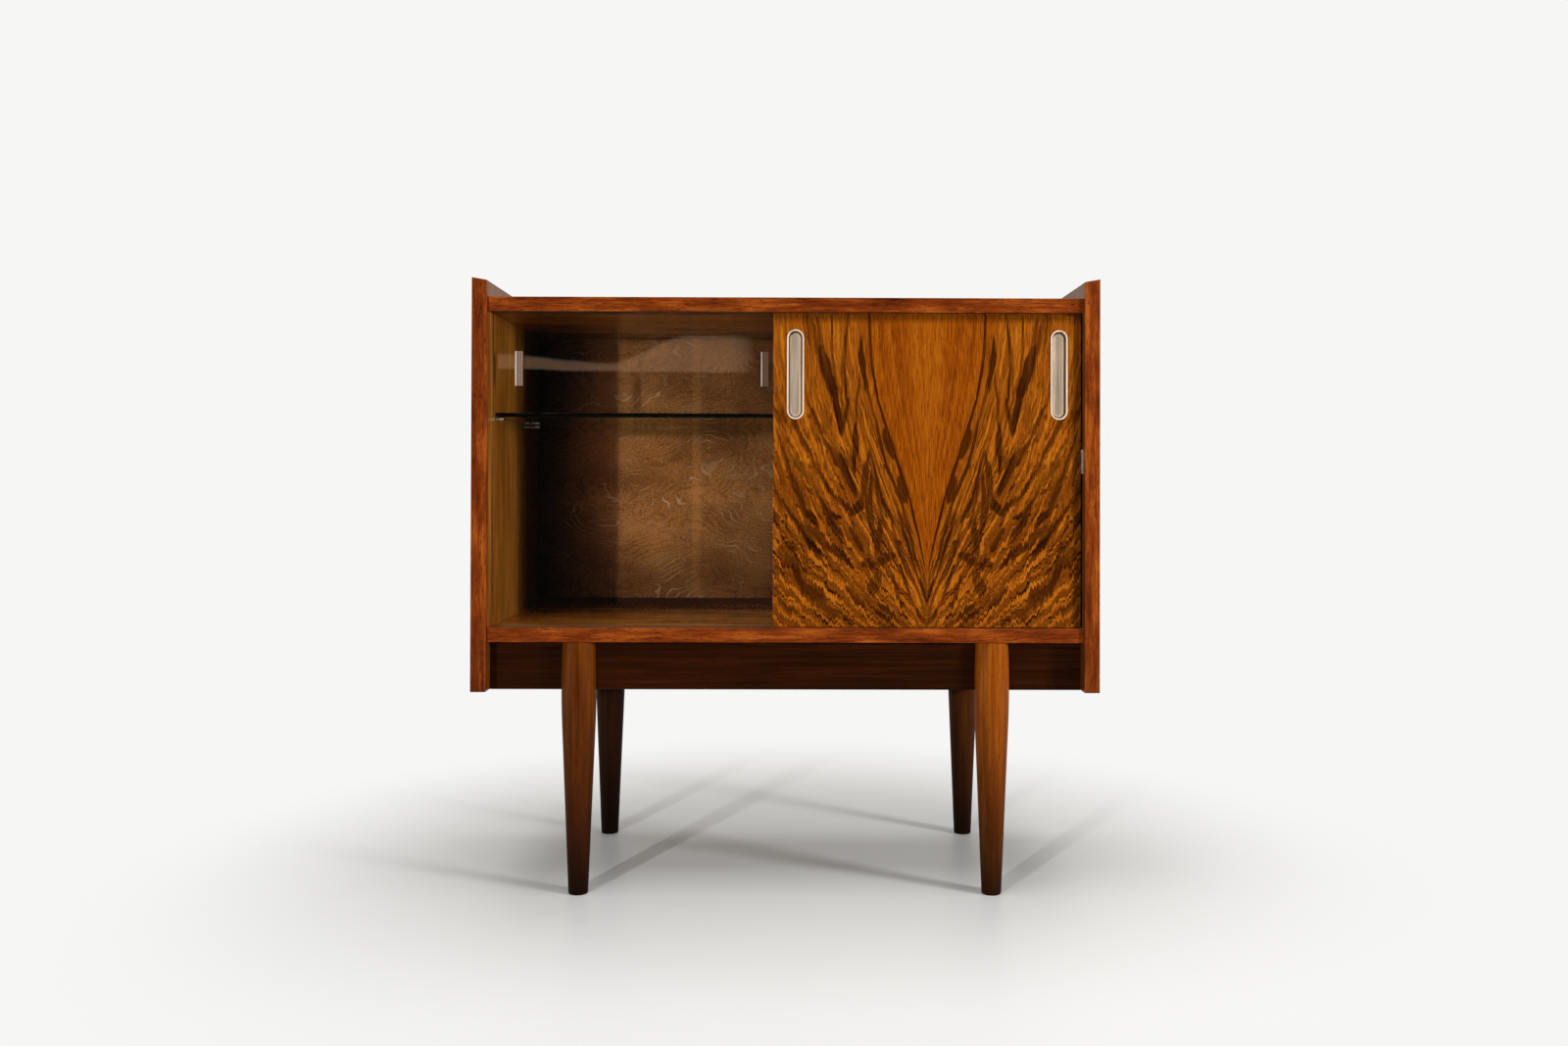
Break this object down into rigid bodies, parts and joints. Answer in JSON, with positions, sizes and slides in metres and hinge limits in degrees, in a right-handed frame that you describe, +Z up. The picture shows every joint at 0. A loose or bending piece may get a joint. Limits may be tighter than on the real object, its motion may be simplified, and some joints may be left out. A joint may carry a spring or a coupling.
{
  "type": "bar cabinet",
  "caption": "Low bar cabinet on turned legs, with a figured wooden sliding door, a glass sliding door behind it and a glass shelf inside.",
  "frame": {"origin": "on the floor, under the middle of the cabinet", "axes": "+X to the viewer's right along the front, +Y from the front to the back, +Z up"},
  "size_m": [0.82, 0.36, 0.8079],
  "materials": {
    "side_veneer": "walnut veneer under satin lacquer",
    "lipping": "solid mahogany edge under gloss lacquer",
    "board_veneer": "walnut veneer under satin lacquer",
    "plywood": "rotary-cut plywood, thinly lacquered",
    "apron": "dark stained hardwood",
    "leg": "turned hardwood under gloss lacquer",
    "dowel": "raw beech",
    "screw": "bright wood screws",
    "channel": "dark brown extruded channel",
    "door_veneer": "bookmatched figured walnut under gloss lacquer",
    "pull": "polished pressed cup",
    "door_glass": "clear float glass with ground edges",
    "shelf_glass": "clear float glass with ground edges",
    "pin": "bright turned pin",
    "buffer": "pale moulded plate"
  },
  "bodies": {
    "carcass": {"side_panel_left": "side_veneer", "side_panel_right": "side_veneer", "side_lipping_left": "lipping", "side_lipping_right": "lipping", "top_lipping": "lipping", "bottom_lipping": "lipping", "top_panel": "board_veneer", "bottom_panel": "board_veneer", "back_panel": "plywood", "apron_front": "apron", "apron_back": "apron", "leg_front_left": "leg", "leg_front_right": "leg", "leg_back_left": "leg", "leg_back_right": "leg", "dowel_top_1_left": "dowel", "dowel_top_1_right": "dowel", "dowel_top_2_left": "dowel", "dowel_top_2_right": "dowel", "dowel_top_3_left": "dowel", "dowel_top_3_right": "dowel", "dowel_bottom_1_left": "dowel", "dowel_bottom_1_right": "dowel", "dowel_bottom_2_left": "dowel", "dowel_bottom_2_right": "dowel", "dowel_bottom_3_left": "dowel", "dowel_bottom_3_right": "dowel", "dowel_apron_front_left": "dowel", "dowel_apron_front_right": "dowel", "dowel_apron_back_left": "dowel", "dowel_apron_back_right": "dowel", "leg_screw_front_left_lower": "screw", "leg_screw_front_left_upper": "screw", "leg_screw_front_right_lower": "screw", "leg_screw_front_right_upper": "screw", "leg_screw_back_left_lower": "screw", "leg_screw_back_left_upper": "screw", "leg_screw_back_right_lower": "screw", "leg_screw_back_right_upper": "screw", "door_track_top": "channel", "door_track_bottom": "channel", "glass_track_top": "channel", "glass_track_bottom": "channel", "glass_shelf": "shelf_glass", "shelf_pin_front_left": "pin", "shelf_pin_front_right": "pin", "shelf_pin_back_left": "pin", "shelf_pin_back_right": "pin", "door_buffer": "buffer"},
    "wooden_door": {"wooden_door": "door_veneer", "door_pull_left": "pull", "door_pull_right": "pull"},
    "glass_door": {"glass_door": "door_glass", "glass_grip_left": "door_glass", "glass_grip_right": "door_glass"}
  },
  "joints": [
    {"name": "wooden_door_slide", "type": "slide", "parent": "carcass", "child": "wooden_door", "axis": [-1, 0, 0], "range_m": [0, 0.3724]},
    {"name": "glass_door_slide", "type": "slide", "parent": "carcass", "child": "glass_door", "axis": [1, 0, 0], "range_m": [0, 0.3835]}
  ]
}
